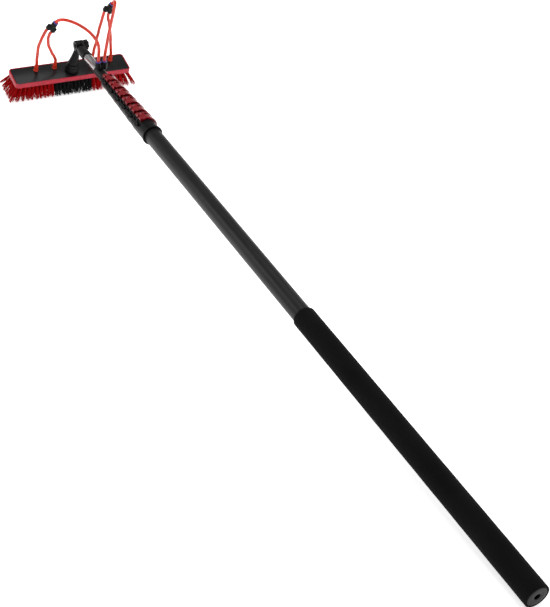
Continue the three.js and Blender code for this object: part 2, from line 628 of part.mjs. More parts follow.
const brush = new THREE.Group();
brush.rotation.x = BRUSH_TILT * degrees;
hinge.add(brush);
buildArm(brush);
buildBlock(brush);
buildBristles(brush);
buildJets(brush);

buildUpperSplitter(hinge, 'left');
buildUpperSplitter(hinge, 'right');
for (const [name, points] of Object.entries({ ...POLE_HOSES, ...JET_HOSES })) {
  hosePiece(name, hinge, points);
}

// The pole leans until its butt rim and the near bristle tips are level, then the whole object moves so
// that its box stands on the origin.
const nearTip = new THREE.Vector3(0, BRUSH_Y - TIP_HALF_WIDTH, BRISTLE_BOTTOM).applyEuler(brush.rotation);
pole.rotation.x = Math.atan2(-(nearTip.z + GRIP_RADIUS), HINGE_Y + nearTip.y);
object.updateMatrixWorld(true);
const extent = new THREE.Box3().setFromObject(object);
pole.position.set(
  -(extent.min.x + extent.max.x) / 2, -(extent.min.y + extent.max.y) / 2, -extent.min.z);

export default object;
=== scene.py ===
import json
import math
import random

import bmesh
import bpy
from mathutils import Matrix, Vector


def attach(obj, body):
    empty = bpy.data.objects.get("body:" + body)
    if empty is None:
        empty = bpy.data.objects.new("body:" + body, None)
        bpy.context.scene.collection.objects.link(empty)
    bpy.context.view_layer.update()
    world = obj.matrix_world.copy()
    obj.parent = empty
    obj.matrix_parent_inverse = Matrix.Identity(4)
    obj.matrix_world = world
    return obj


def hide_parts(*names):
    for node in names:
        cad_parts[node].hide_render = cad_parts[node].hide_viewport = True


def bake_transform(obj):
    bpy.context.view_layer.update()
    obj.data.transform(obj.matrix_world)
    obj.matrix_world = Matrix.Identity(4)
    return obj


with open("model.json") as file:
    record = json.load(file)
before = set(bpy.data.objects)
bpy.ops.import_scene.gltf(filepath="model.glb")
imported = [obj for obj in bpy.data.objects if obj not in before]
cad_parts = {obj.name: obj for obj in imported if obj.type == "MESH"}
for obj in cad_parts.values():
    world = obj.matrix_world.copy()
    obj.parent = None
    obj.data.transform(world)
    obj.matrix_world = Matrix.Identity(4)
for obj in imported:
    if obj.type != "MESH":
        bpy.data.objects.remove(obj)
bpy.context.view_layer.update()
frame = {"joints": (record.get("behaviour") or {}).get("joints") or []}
JOINTS = {joint["name"]: joint for joint in frame["joints"]}

# ---------------------------------------------------------------- the frame's directions
ACROSS = Vector((1, 0, 0))
ALONG = Vector(JOINTS["tip_slide"]["axis"]).normalized()
UP = ACROSS.cross(ALONG)
HINGE = Vector(JOINTS["knuckle_hinge"]["pos_m"])
HINGE_Y = 1.896
BRUSH_TILT = math.radians(14)

HINGE_AXES = Matrix((ACROSS, ALONG, UP)).transposed().to_4x4()
AT_HINGE = Matrix.Translation(HINGE) @ HINGE_AXES
AT_POLE = AT_HINGE @ Matrix.Translation((0, -HINGE_Y, 0))
AT_BRUSH = AT_HINGE @ Matrix.Rotation(BRUSH_TILT, 4, "X")

# ---------------------------------------------------------------- driving dimensions
SECTION_COUNT = 7
BASE_RADIUS = 0.020
RADIUS_STEP = 0.00125
TUBE_WALL = 0.001
BASE_TOP = 1.443
CLAMP_WALL = 0.003
FIRST_CLAMP_LENGTH = 0.066
CLAMP_LENGTH = 0.038
FIRST_CLAMP_PITCH = 0.068
CLAMP_PITCH = 0.040
FIRST_SLEEVE_LENGTH = 0.0265
SLEEVE_LENGTH = 0.009
FIRST_CLAMP_LIP = 0.0015
CLAMP_LIP = 0.0003
GLUE_GAP = 0.00015
PART_GAP = 0.0003
GRIP_RADIUS = 0.0238
GRIP_LENGTH = 0.743
PLUG_LENGTH = 0.026
BASE_TUBE_START = 0.003
INNER_TUBE_START = PLUG_LENGTH + 0.004
INNER_TUBE_STEP = 0.002
TIP_TUBE_END = BASE_TOP + 0.321
INLET_RADIUS = 0.006
LEVER_LENGTH = 0.028
LEVER_SETBACK = 0.0025
LEVER_CLEARANCE = 0.0004
LEVER_THICKNESS = 0.0042
LEVER_TAB = 0.0024
LEVER_HUB_RADIUS = 0.0046
SLOT_ROOT_RADIUS = 0.0022
SLOT_REACH = 0.012
SLOT_HALF_WIDTH = 0.0026
WINDOW_ANGLE = 76
WINDOW_RADIUS = 0.0042
WINDOW_SETBACK = 0.008
PIVOT_STANDOFF = 0.006
PIVOT_ANGLE = 118
NUT_STANDOFF = 0.0046
NUT_ANGLE = 160
NUT_RADIUS = 0.0038
NUT_THICKNESS = 0.0024
NUT_SEAT_RADIUS = 0.0044
LEVER_END_ANGLE = -22
PIN_RADIUS = 0.002
SHANK_RADIUS = 0.0018
NECK_START = BASE_TOP + 0.276
NECK_END = BASE_TOP + 0.412
RING_START = BASE_TOP + 0.389
YOKE_START = BASE_TOP + 0.3935
NECK_RADIUS = 0.011
NECK_WALL = 0.0013
HUB_RADIUS = 0.013
HUB_INNER_X = 0.0054
HUB_OUTER_X = -0.008
EAR_INNER_X = 0.0062
EAR_OUTER_X = 0.0142
KNOB_COLLAR = 0.0022
KNOB_COLLAR_RADIUS = 0.0075
KNOB_WIDTH = 0.010
KNOB_RADIUS = 0.0111
KNOB_LOBES = 6
KNOB_LOBE_HEIGHT = 0.0017
KNOB_POINTS = 144
BOLT_RADIUS = 0.003
BOLT_HEAD_RADIUS = 0.006
ARM_TOP_X = -0.0013
ARM_FOOT_X = -0.006
ARM_STRAIGHT = 0.015
ARM_RADIUS = 0.0067
SOCKET_HEIGHT = 0.024
SOCKET_RADIUS = 0.0182
SOCKET_FLOOR = 0.010
SPIGOT_RADIUS = 0.0085
BRUSH_X = -0.008
BRUSH_Y = 0.0045
BRUSH_LENGTH = 0.312
BRUSH_WIDTH = 0.062
BRUSH_DROP = 0.081
BLOCK_HEIGHT = 0.012
RIM = 0.003
BRISTLE_LENGTH = 0.038
BRISTLE_END_FLARE = 0.020
BLACK_HALF_LENGTH = 0.056
OUTLINE_RADIUS = 0.009
TUFT_COLUMNS = 30
TUFT_ROWS = 7
TUFT_FILAMENTS = 62
TUFT_COLUMN_PITCH = 0.0102
TUFT_ROW_PITCH = 0.0082
TUFT_ROOT_RADIUS = 0.0019
TUFT_TIP_SPREAD_X = 0.0066
TUFT_TIP_SPREAD_Y = 0.0042
TUFT_TWIST = 0.0012
END_COLUMN_X = 0.148
EDGE_ROW_Y = 0.0245
EDGE_ROW_LEAN = 0.0125
FILAMENT_RADIUS = 0.00046
FILAMENT_BOW = 0.0006
FILAMENT_CORNERS = (0, 2.0944, 4.1888)
JET_X = (-0.089, -0.039, 0.063, 0.114)
JET_Y = 0.0164
JET_HEIGHT = 0.016
HOSE_RADIUS = 0.0039
HOSE_OVERLAP = 0.002
SPLITTER_Y = BASE_TOP + 0.304
OUTLET_SPACING = 0.016
OUTLET_RADIUS = 0.0072
OUTLET_LENGTH = 0.0172
SPLITTER_HEIGHT = 0.0133
STEM_RADIUS = 0.006
COLLET_RADIUS = 0.0054
COLLET_FLANGE_RADIUS = 0.0064
COLLET_DEPTH = 0.002
FLANGE_START = 0.0016
FLANGE_END = 0.0032
COLLET_SOCKET_RADIUS = 0.0058
COLLET_SOCKET_DEPTH = 0.0034
LEG_SPACING = 0.0124
LEG_RADIUS = 0.0066
LEG_LENGTH = 0.011
UPPER_STEM_RADIUS = 0.0072
UPPER_STEM_END = 0.015
UPPER_SOCKET_DEPTH = 0.0062

UPPER_SPLITTERS = {
    "left": ((-0.069, -0.001, 0.061), (0.36, -0.41, 0.84)),
    "right": ((0.080, -0.001, 0.0925), (0.25, -0.42, 0.87)),
}
# Centrelines of the hoses, measured from the hinge in the pole's directions.
HOSES = {
    "left_pole_hose": [
        (-0.008, -0.149, 0.0274), (-0.008, -0.149, 0.036), (-0.0075, -0.148, 0.044),
        (-0.0055, -0.144, 0.052), (-0.0025, -0.137, 0.059), (0.0005, -0.126, 0.064),
        (0.002, -0.112, 0.068), (0, -0.097, 0.073), (-0.006, -0.08, 0.079), (-0.015, -0.064, 0.084),
        (-0.026, -0.05, 0.088), (-0.037, -0.038, 0.09), (-0.047, -0.028, 0.09), (-0.055, -0.019, 0.087),
        (-0.06, -0.012, 0.082), (-0.0629, -0.008, 0.0753), (-0.0657, -0.0048, 0.0687),
    ],
    "right_pole_hose": [
        (0.008, -0.149, 0.0274), (0.008, -0.149, 0.036), (0.0085, -0.148, 0.044),
        (0.012, -0.143, 0.053), (0.018, -0.134, 0.062), (0.026, -0.121, 0.072), (0.035, -0.107, 0.082),
        (0.045, -0.092, 0.092), (0.054, -0.078, 0.101), (0.062, -0.066, 0.108), (0.069, -0.055, 0.114),
        (0.075, -0.045, 0.1185), (0.08, -0.036, 0.121), (0.0835, -0.028, 0.1215),
        (0.0855, -0.021, 0.12), (0.086, -0.015, 0.117), (0.0855, -0.0103, 0.1117),
        (0.0843, -0.0082, 0.1073), (0.0823, -0.0049, 0.1005),
    ],
    "jet_1_hose": [
        (-0.097, 0.0315, -0.0586), (-0.097, 0.029, -0.049), (-0.098, 0.027, -0.04),
        (-0.098, 0.025, -0.031), (-0.098, 0.023, -0.022), (-0.098, 0.021, -0.013),
        (-0.098, 0.019, -0.004), (-0.097, 0.017, 0.005), (-0.095, 0.015, 0.013), (-0.093, 0.013, 0.021),
        (-0.09, 0.012, 0.029), (-0.087, 0.011, 0.036), (-0.084, 0.01, 0.043), (-0.081, 0.0085, 0.049),
        (-0.0783, 0.0063, 0.0539),
    ],
    "jet_2_hose": [
        (-0.047, 0.0315, -0.0586), (-0.047, 0.029, -0.049), (-0.05, 0.027, -0.041),
        (-0.054, 0.025, -0.033), (-0.059, 0.023, -0.025), (-0.063, 0.021, -0.016),
        (-0.067, 0.019, -0.008), (-0.071, 0.017, 0.001), (-0.073, 0.015, 0.009), (-0.074, 0.013, 0.017),
        (-0.075, 0.011, 0.025), (-0.074, 0.009, 0.032), (-0.073, 0.007, 0.038), (-0.071, 0.0045, 0.043),
        (-0.0686, 0.0018, 0.0476),
    ],
    "jet_3_hose": [
        (0.055, 0.0315, -0.0586), (0.055, 0.029, -0.049), (0.055, 0.026, -0.038),
        (0.055, 0.023, -0.028), (0.056, 0.02, -0.018), (0.057, 0.017, -0.008), (0.057, 0.015, 0.002),
        (0.058, 0.013, 0.012), (0.06, 0.012, 0.022), (0.061, 0.011, 0.032), (0.063, 0.01, 0.042),
        (0.066, 0.01, 0.053), (0.068, 0.009, 0.064), (0.07, 0.008, 0.074), (0.0714, 0.0057, 0.0842),
    ],
    "jet_4_hose": [
        (0.106, 0.0315, -0.0586), (0.105, 0.029, -0.049), (0.103, 0.026, -0.039),
        (0.101, 0.023, -0.029), (0.099, 0.02, -0.02), (0.097, 0.017, -0.01), (0.096, 0.015, 0),
        (0.094, 0.013, 0.01), (0.092, 0.011, 0.02), (0.09, 0.01, 0.03), (0.088, 0.009, 0.04),
        (0.086, 0.008, 0.05), (0.083, 0.0075, 0.06), (0.082, 0.006, 0.07), (0.0824, 0.0028, 0.0792),
    ],
}


# ---------------------------------------------------------------- camera, floor and light
# The camera's place and directions are given in the pole's own directions.
CAMERA_SPOT = Vector((-1.1667, -0.8663, 1.5532))
CAMERA_FORWARD = Vector((0.4457, 0.6544, -0.6109)).normalized()
CAMERA_RIGHT = Vector((0.8694, -0.4789, 0.1215)).normalized()
CAMERA_SENSOR = 36
CAMERA_LENS = 77.1
FLOOR_HALF_SIZE = 30
FLOOR_DEPTH = 0.0005
FLOOR_GLOW = 0.7
WORLD_GLOW = 0.3


def make_camera():
    """A long lens above and to the left of the pole, looking along it towards the head."""
    up = CAMERA_RIGHT.cross(CAMERA_FORWARD)
    turn = Matrix((CAMERA_RIGHT, up, -CAMERA_FORWARD)).transposed().to_4x4()
    data = bpy.data.cameras.new("camera")
    data.sensor_width = CAMERA_SENSOR
    data.lens = CAMERA_LENS
    data.clip_start = 0.05
    data.clip_end = 60
    camera = bpy.data.objects.new("camera", data)
    camera.matrix_world = AT_POLE @ Matrix.Translation(CAMERA_SPOT) @ turn
    bpy.context.scene.collection.objects.link(camera)
    bpy.context.scene.camera = camera


def make_floor():
    """A pale sweep that glows a little, like a light table, so that it reads as plain white."""
    bm = bmesh.new()
    bmesh.ops.create_grid(bm, x_segments=1, y_segments=1, size=FLOOR_HALF_SIZE)
    mesh = bpy.data.meshes.new("floor")
    bm.to_mesh(mesh)
    bm.free()
    floor = bpy.data.objects.new("floor", mesh)
    floor.location.z = -FLOOR_DEPTH
    bpy.context.scene.collection.objects.link(floor)
    material = bpy.data.materials.new("floor")
    material.use_nodes = True
    shader = material.node_tree.nodes["Principled BSDF"]
    shader.inputs["Base Color"].default_value = (0.92, 0.92, 0.92, 1)
    shader.inputs["Emission Color"].default_value = (1, 1, 1, 1)
    shader.inputs["Emission Strength"].default_value = FLOOR_GLOW
    shader.inputs["Roughness"].default_value = 0.9
    shader.inputs["Specular IOR Level"].default_value = 0.1
    mesh.materials.append(material)


def make_light(name, spot, target, size, power):
    data = bpy.data.lights.new(name, "AREA")
    data.shape = "RECTANGLE"
    data.size, data.size_y = size
    data.energy = power
    light = bpy.data.objects.new(name, data)
    light.location = spot
    light.rotation_mode = "QUATERNION"
    light.rotation_quaternion = (Vector(target) - Vector(spot)).to_track_quat("-Z", "Y")
    bpy.context.scene.collection.objects.link(light)


def make_studio():
    bpy.context.scene.view_settings.view_transform = "Standard"
    world = bpy.data.worlds.new("studio")
    bpy.context.scene.world = world
    world.use_nodes = True
    world.node_tree.nodes["Background"].inputs["Color"].default_value = (1, 1, 1, 1)
    world.node_tree.nodes["Background"].inputs["Strength"].default_value = WORLD_GLOW
    make_light("overhead", spot=(0.2, 0.4, 3.2), target=(0, 0.2, 0), size=(2.6, 3.4), power=62)
    make_light("right_box", spot=(2.6, 0.6, 1.5), target=(0, 0.4, 0.1), size=(1.2, 2.6), power=26)
    make_light("left_box", spot=(-1.6, 1.8, 1.3), target=(0, 0.6, 0.1), size=(0.8, 1.2), power=14)


# ---------------------------------------------------------------- materials
class Nodes:
    """A short way to add nodes to one material."""

    def __init__(self, name):
        self.material = bpy.data.materials.new(name)
        self.material.use_nodes = True
        self.tree = self.material.node_tree
        self.shader = self.tree.nodes["Principled BSDF"]
        self.place = self.tree.nodes.new("ShaderNodeTexCoord").outputs["Object"]

    def set(self, **values):
        for name, value in values.items():
            self.shader.inputs[name.replace("_", " ")].default_value = value

    def link(self, a, b):
        self.tree.links.new(a, b)

    def mapped(self, scale, rotation=(0, 0, 0)):
        node = self.tree.nodes.new("ShaderNodeMapping")
        node.inputs["Scale"].default_value = scale
        node.inputs["Rotation"].default_value = rotation
        self.link(self.place, node.inputs["Vector"])
        return node.outputs["Vector"]

    def noise(self, vector, scale, detail=3, roughness=0.5):
        node = self.tree.nodes.new("ShaderNodeTexNoise")
        node.inputs["Scale"].default_value = scale
        node.inputs["Detail"].default_value = detail
        node.inputs["Roughness"].default_value = roughness
        self.link(vector, node.inputs["Vector"])
        return node.outputs["Fac"]

    def ramp(self, value, stops):
        node = self.tree.nodes.new("ShaderNodeValToRGB")
        ramp = node.color_ramp
        while len(ramp.elements) < len(stops):
            ramp.elements.new(0.5)
        for element, (position, colour) in zip(ramp.elements, stops):
            element.position = position
            element.color = (*colour, 1)
        self.link(value, node.inputs["Fac"])
        return node.outputs["Color"]

    def between(self, value, low, high):
        node = self.tree.nodes.new("ShaderNodeMapRange")
        node.inputs["To Min"].default_value = low
        node.inputs["To Max"].default_value = high
        self.link(value, node.inputs["Value"])
        return node.outputs["Result"]

    def bump(self, height, strength, distance):
        node = self.tree.nodes.new("ShaderNodeBump")
        node.inputs["Strength"].default_value = strength
        node.inputs["Distance"].default_value = distance
        self.link(height, node.inputs["Height"])
        self.link(node.outputs["Normal"], self.shader.inputs["Normal"])


def scaled(colour, factor):
    return tuple(min(1, channel * factor) for channel in colour)


def moulded(name, colour, roughness, grain=0.25, coat=0.0, specular=0.3):
    """Moulded plastic: fine grain, slightly uneven colour and gloss."""
    nodes = Nodes(name)
    patches = nodes.noise(nodes.mapped((1, 1, 1)), 70)
    nodes.link(nodes.ramp(patches, [(0.3, scaled(colour, 0.8)), (0.7, scaled(colour, 1.2))]),
               nodes.shader.inputs["Base Color"])
    nodes.link(nodes.between(patches, roughness - 0.06, roughness + 0.08), nodes.shader.inputs["Roughness"])
    nodes.bump(nodes.noise(nodes.mapped((1, 1, 1)), 2600, 2), grain, 0.0002)
    nodes.set(Coat_Weight=coat, Coat_Roughness=0.12, Specular_IOR_Level=specular)
    return nodes.material


def drawn(name, colours, roughness, metallic, density, strength):
    """A surface with streaks along the pole: drawn metal or a wiped composite tube."""
    nodes = Nodes(name)
    tilt = math.atan2(ALONG.z, ALONG.y)
    vector = nodes.mapped((density, 1.2, density), (-tilt, 0, 0))
    streaks = nodes.noise(vector, 1, 4, 0.6)
    nodes.link(nodes.ramp(streaks, [(0.34, colours[0]), (0.5, colours[1]), (0.68, colours[2])]),
               nodes.shader.inputs["Base Color"])
    nodes.link(nodes.between(streaks, roughness - 0.08, roughness + 0.1), nodes.shader.inputs["Roughness"])
    grain = nodes.noise(nodes.mapped((density * 6, 6, density * 6), (-tilt, 0, 0)), 1, 2)
    nodes.bump(grain, strength, 0.0001)
    nodes.set(Metallic=metallic, Specular_IOR_Level=0.22)
    return nodes.material


def foam():
    """Closed-cell foam: tiny pores and a dusty matte skin."""
    nodes = Nodes("foam")
    patches = nodes.noise(nodes.mapped((1, 0.4, 1)), 30)
    nodes.link(nodes.ramp(patches, [(0.3, (0.003, 0.003, 0.003)), (0.75, (0.006, 0.006, 0.006))]),
               nodes.shader.inputs["Base Color"])
    pores = nodes.tree.nodes.new("ShaderNodeTexVoronoi")
    pores.inputs["Scale"].default_value = 900
    nodes.link(nodes.place, pores.inputs["Vector"])
    nodes.bump(pores.outputs["Distance"], 0.55, 0.0004)
    nodes.set(Roughness=0.92, Specular_IOR_Level=0.1)
    return nodes.material


def bristle(name, root, tip):
    """Nylon filaments: each strand a little different, between a darker and a lighter tone."""
    nodes = Nodes(name)
    strands = nodes.noise(nodes.mapped((1, 1, 0.12)), 700, 2)
    nodes.link(nodes.ramp(strands, [(0.3, root), (0.7, tip)]), nodes.shader.inputs["Base Color"])
    nodes.bump(nodes.noise(nodes.mapped((1, 1, 0.05)), 2500, 1), 0.2, 0.0001)
    nodes.set(Roughness=0.6, Specular_IOR_Level=0.08)
    return nodes.material


MATERIALS = {
    "carbon": drawn("carbon", ((0.004, 0.004, 0.004), (0.007, 0.007, 0.007), (0.012, 0.012, 0.012)),
                    0.42, 0.0, 260, 0.12),
    "neck": drawn("neck", ((0.16, 0.16, 0.17), (0.62, 0.63, 0.65), (0.88, 0.89, 0.90)), 0.24, 1.0, 420, 0.2),
    "foam": foam(),
    "black": moulded("black", (0.004, 0.004, 0.0044), 0.36, specular=0.12),
    "dark": moulded("dark", (0.009, 0.0095, 0.010), 0.42, specular=0.18),
    "lever": moulded("lever", (0.22, 0.0005, 0.005), 0.22, 0.02, 0.12, 0.3),
    "rim": moulded("rim", (0.42, 0.006, 0.026), 0.36, 0.15, 0.1),
    "plate": moulded("plate", (0.011, 0.0112, 0.012), 0.22, 0.03, 0.0, 0.2),
    "hose": moulded("hose", (0.62, 0.030, 0.008), 0.3, 0.05, 0.3),
    "collar": moulded("collar", (0.085, 0.06, 0.34), 0.26, 0.08, 0.5),
    "black_steel": moulded("black_steel", (0.008, 0.008, 0.009), 0.3, 0.1, 0.1),
    "red_bristle": bristle("red_bristle", (0.24, 0.001, 0.002), (0.56, 0.003, 0.005)),
    "black_bristle": bristle("black_bristle", (0.003, 0.003, 0.003), (0.014, 0.014, 0.015)),
}


# ---------------------------------------------------------------- mesh helpers
SHARP_ANGLE = 34


def make(name, bm, place, look, body):
    """Turns a bmesh into a finished piece that stands for its CAD node. A given body carries it."""
    bm.transform(place)
    bmesh.ops.recalc_face_normals(bm, faces=bm.faces)
    for face in bm.faces:
        face.smooth = True
    limit = math.radians(SHARP_ANGLE)
    for edge in bm.edges:
        edge.smooth = len(edge.link_faces) != 2 or edge.calc_face_angle(0) < limit
    mesh = bpy.data.meshes.new(f"{name}_fine")
    bm.to_mesh(mesh)
    bm.free()
    mesh.materials.append(MATERIALS[look])
    piece = bpy.data.objects.new(f"{name}_fine", mesh)
    bpy.context.scene.collection.objects.link(piece)
    if body:
        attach(piece, body)
    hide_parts(name)
    return piece


def softened(profile, radius, steps=3, closed=False):
    """Rounds the corners of a profile given as (radius, distance) points."""
    points = [Vector(p) for p in profile]
    count = len(points)
    result = []
    for i, point in enumerate(points):
        if not closed and i in (0, count - 1):
            result.append(point)
            continue
        before = points[i - 1] - point
        after = points[(i + 1) % count] - point
        reach = min(radius, before.length * 0.45, after.length * 0.45)
        a = point + before.normalized() * reach
        b = point + after.normalized() * reach
        for step in range(steps + 1):
            t = step / steps
            result.append(a.lerp(point, t).lerp(point.lerp(b, t), t))
    return result


def lathe(profile, sides=64, soft=0.0003, closed=False):
    """A solid of revolution about Y. An open profile starts and ends on the axis."""
    bm = bmesh.new()
    rings = []
    for radius, y in softened(profile, soft, closed=closed):
        if radius < 1e-7:
            rings.append([bm.verts.new((0, y, 0))] * sides)
            continue
        angles = [2 * math.pi * i / sides for i in range(sides)]
        rings.append([bm.verts.new((radius * math.cos(a), y, radius * math.sin(a))) for a in angles])
    pairs = list(zip(rings, rings[1:] + rings[:1]))
    for lower, upper in pairs if closed else pairs[:-1]:
        for i in range(sides):
            j = (i + 1) % sides
            corners = dict.fromkeys([lower[i], lower[j], upper[j], upper[i]])
            if len(corners) > 2:
                bm.faces.new(list(corners))
    return bm


def ring(outer, inner, start, end, sides=64, soft=0.0003):
    return lathe([(inner, start), (outer, start), (outer, end), (inner, end)], sides, soft, closed=True)


def rod(radius, start, end, sides=32, soft=0.0003):
    return lathe([(0, start), (radius, start), (radius, end), (0, end)], sides, soft)


def prism(outline, start, end):
    """An outline in the XZ plane drawn out along Y."""
    bm = bmesh.new()
    low = [bm.verts.new((x, start, z)) for x, z in outline]
    high = [bm.verts.new((x, end, z)) for x, z in outline]
    bm.faces.new(low)
    bm.faces.new(high)
    for i in range(len(low)):
        j = (i + 1) % len(low)
        bm.faces.new((low[i], low[j], high[j], high[i]))
    bmesh.ops.recalc_face_normals(bm, faces=bm.faces)
    return bm


def block(size, centre):
    bm = bmesh.new()
    bmesh.ops.create_cube(bm, size=1)
    bm.transform(Matrix.Translation(centre) @ Matrix.Diagonal((*size, 1)))
    return bm


def placed(bm, matrix):
    bm.transform(matrix)
    return bm


def aimed(bm, direction, at=(0, 0, 0)):
    """Turns a bmesh made along +Y to point along a direction, and moves it to a point."""
    turn = Vector((0, 1, 0)).rotation_difference(Vector(direction)).to_matrix().to_4x4()
    return placed(bm, Matrix.Translation(at) @ turn)


def shifted(bm, x, y, z):
    return placed(bm, Matrix.Translation((x, y, z)))


def helper(bm):
    bmesh.ops.recalc_face_normals(bm, faces=bm.faces)
    mesh = bpy.data.meshes.new("helper")
    bm.to_mesh(mesh)
    bm.free()
    thing = bpy.data.objects.new("helper", mesh)
    bpy.context.scene.collection.objects.link(thing)
    return thing


def baked(thing):
    """The bmesh of an object with its modifiers, which are then gone with it."""
    evaluated = thing.evaluated_get(bpy.context.evaluated_depsgraph_get())
    bm = bmesh.new()
    bm.from_mesh(evaluated.to_mesh())
    evaluated.to_mesh_clear()
    bpy.data.objects.remove(thing)
    return bm


def combined(base, tools, operation):
    body = helper(base)
    others = [helper(tool) for tool in tools]
    for other in others:
        modifier = body.modifiers.new("combine", "BOOLEAN")
        modifier.operation = operation
        modifier.solver = "MANIFOLD"
        modifier.object = other
    bpy.context.view_layer.update()
    result = baked(body)
    for other in others:
        bpy.data.objects.remove(other)
    if not result.faces or any(len(edge.link_faces) != 2 for edge in result.edges):
        raise RuntimeError("a boolean left an empty or torn mesh")
    return result


def joined(*parts):
    return combined(parts[0], parts[1:], "UNION")


def carved(base, *tools):
    return combined(base, tools, "DIFFERENCE")


def bevelled(bm, width, segments=2):
    thing = helper(bm)
    modifier = thing.modifiers.new("bevel", "BEVEL")
    modifier.width = width
    modifier.segments = segments
    modifier.limit_method = "ANGLE"
    modifier.angle_limit = math.radians(38)
    modifier.use_clamp_overlap = True
    bpy.context.view_layer.update()
    return baked(thing)


def blended(bm, voxel, rounds=4):
    """Remeshes joined shapes into one moulding with soft fillets."""
    thing = helper(bm)
    remesh = thing.modifiers.new("remesh", "REMESH")
    remesh.mode = "VOXEL"
    remesh.voxel_size = voxel
    smooth = thing.modifiers.new("smooth", "SMOOTH")
    smooth.iterations = rounds
    smooth.factor = 0.5
    bpy.context.view_layer.update()
    return baked(thing)


def hulled(*parts):
    """The convex hull of several bmeshes."""
    bm = bmesh.new()
    for part in parts:
        for vertex in part.verts:
            bm.verts.new(vertex.co)
        part.free()
    result = bmesh.ops.convex_hull(bm, input=bm.verts)
    inside = [item for item in result["geom_interior"] if isinstance(item, bmesh.types.BMVert)]
    bmesh.ops.delete(bm, geom=inside, context="VERTS")
    return bm


def polar(radius, angle):
    return radius * math.cos(math.radians(angle)), radius * math.sin(math.radians(angle))


# ---------------------------------------------------------------- derived places
def tube_radius(section):
    return BASE_RADIUS - RADIUS_STEP * (section - 1)


def clamp_start(clamp):
    return BASE_TOP + (0 if clamp == 1 else FIRST_CLAMP_PITCH + CLAMP_PITCH * (clamp - 2))


def clamp_end(clamp):
    return clamp_start(clamp) + (FIRST_CLAMP_LENGTH if clamp == 1 else CLAMP_LENGTH)


def sleeve_end(clamp):
    return clamp_start(clamp) + (FIRST_SLEEVE_LENGTH if clamp == 1 else SLEEVE_LENGTH)


def section_body(section):
    if section == 1:
        return "base_section"
    return "tip_section" if section == SECTION_COUNT else f"section_{section}"


# ---------------------------------------------------------------- hoses
def smooth_path(points, steps=6):
    """Points along a centripetal Catmull-Rom curve through the given ones."""
    points = [Vector(p) for p in points]
    ends = [points[0] * 2 - points[1], *points, points[-1] * 2 - points[-2]]
    result = []
    for a, b, c, d in zip(ends, ends[1:], ends[2:], ends[3:]):
        t1 = (b - a).length ** 0.5
        t2 = t1 + (c - b).length ** 0.5
        t3 = t2 + (d - c).length ** 0.5
        for step in range(steps):
            t = t1 + (t2 - t1) * step / steps
            ab = a.lerp(b, t / t1)
            bc = b.lerp(c, (t - t1) / (t2 - t1))
            cd = c.lerp(d, (t - t2) / (t3 - t2))
            result.append(ab.lerp(bc, t / t2).lerp(bc.lerp(cd, (t - t1) / (t3 - t1)), (t - t1) / (t2 - t1)))
    return [*result, points[-1]]


def swept(path, radius, sides=20):
    """A closed round tube along a path, without twist."""
    bm = bmesh.new()
    side = (path[1] - path[0]).orthogonal().normalized()
    previous = (path[1] - path[0]).normalized()
    rings = []
    for i, point in enumerate(path):
        along = (path[min(i + 1, len(path) - 1)] - path[max(i - 1, 0)]).normalized()
        side = previous.rotation_difference(along) @ side
        previous = along
        other = along.cross(side)
        angles = [2 * math.pi * k / sides for k in range(sides)]
        spokes = [side * math.cos(a) + other * math.sin(a) for a in angles]
        rings.append([bm.verts.new(point + spoke * radius) for spoke in spokes])
    for lower, upper in zip(rings, rings[1:]):
        for i in range(sides):
            j = (i + 1) % sides
            bm.faces.new((lower[i], lower[j], upper[j], upper[i]))
    bm.faces.new(rings[0])
    bm.faces.new(rings[-1])
    return bm


def make_hoses(fittings):
    """Each hose reaches a little way into the fitting at both its ends."""
    for name, points in HOSES.items():
        path = smooth_path(points)
        path[0] += (path[0] - path[1]).normalized() * HOSE_OVERLAP
        path[-1] += (path[-1] - path[-2]).normalized() * HOSE_OVERLAP
        crosses_joint = "pole" in name
        bm = swept(path, HOSE_RADIUS)
        piece = make(name, bm, AT_HINGE, "hose", None if crosses_joint else "brush_head")
        if crosses_joint:
            # The bend runs from inside the lower collet to the mouth of the upper one.
            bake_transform(piece)


# ---------------------------------------------------------------- tubes and grip
def splitter_port():
    """The hole in the top of the pole that the lower splitter's stem goes into."""
    return aimed(rod(STEM_RADIUS + PART_GAP, 0, 0.03), (0, 0, 1), (0, SPLITTER_Y, 0))


def tube_name(section):
    if section == 1:
        return "base_tube"
    return "tip_tube" if section == SECTION_COUNT else f"section_{section}_tube"


def make_tubes():
    for section in range(1, SECTION_COUNT + 1):
        radius = tube_radius(section)
        start = BASE_TUBE_START if section == 1 else INNER_TUBE_START + INNER_TUBE_STEP * section
        end = sleeve_end(section) - PART_GAP if section < SECTION_COUNT else TIP_TUBE_END
        bm = ring(radius, radius - TUBE_WALL, start, end, 96)
        if section == SECTION_COUNT:
            bm = carved(bm, splitter_port())
        make(tube_name(section), bm, AT_POLE, "carbon", section_body(section))


def make_grip():
    inner = BASE_RADIUS + GLUE_GAP
    bands = 60
    wall = [(GRIP_RADIUS - 0.00012 * math.sin(9 * i) ** 2, GRIP_LENGTH * i / bands) for i in range(1, bands)]
    profile = [(inner, 0), (GRIP_RADIUS - 0.0002, 0), *wall, (GRIP_RADIUS, GRIP_LENGTH - 0.004),
               (GRIP_RADIUS - 0.0018, GRIP_LENGTH), (inner, GRIP_LENGTH)]
    grip = make("grip_sleeve", lathe(profile, 80, 0.0012, closed=True), AT_POLE, "foam", "base_section")


def make_butt_plug():
    spigot = BASE_RADIUS - TUBE_WALL - GLUE_GAP
    profile = [(INLET_RADIUS, 0.0002), (BASE_RADIUS - 0.0002, 0.0002), (BASE_RADIUS - 0.0002, 0.0027),
               (spigot, 0.0027), (spigot, PLUG_LENGTH), (INLET_RADIUS, PLUG_LENGTH)]
    make("butt_plug", lathe(profile, 64, 0.0006, closed=True), AT_POLE, "black", "base_section")


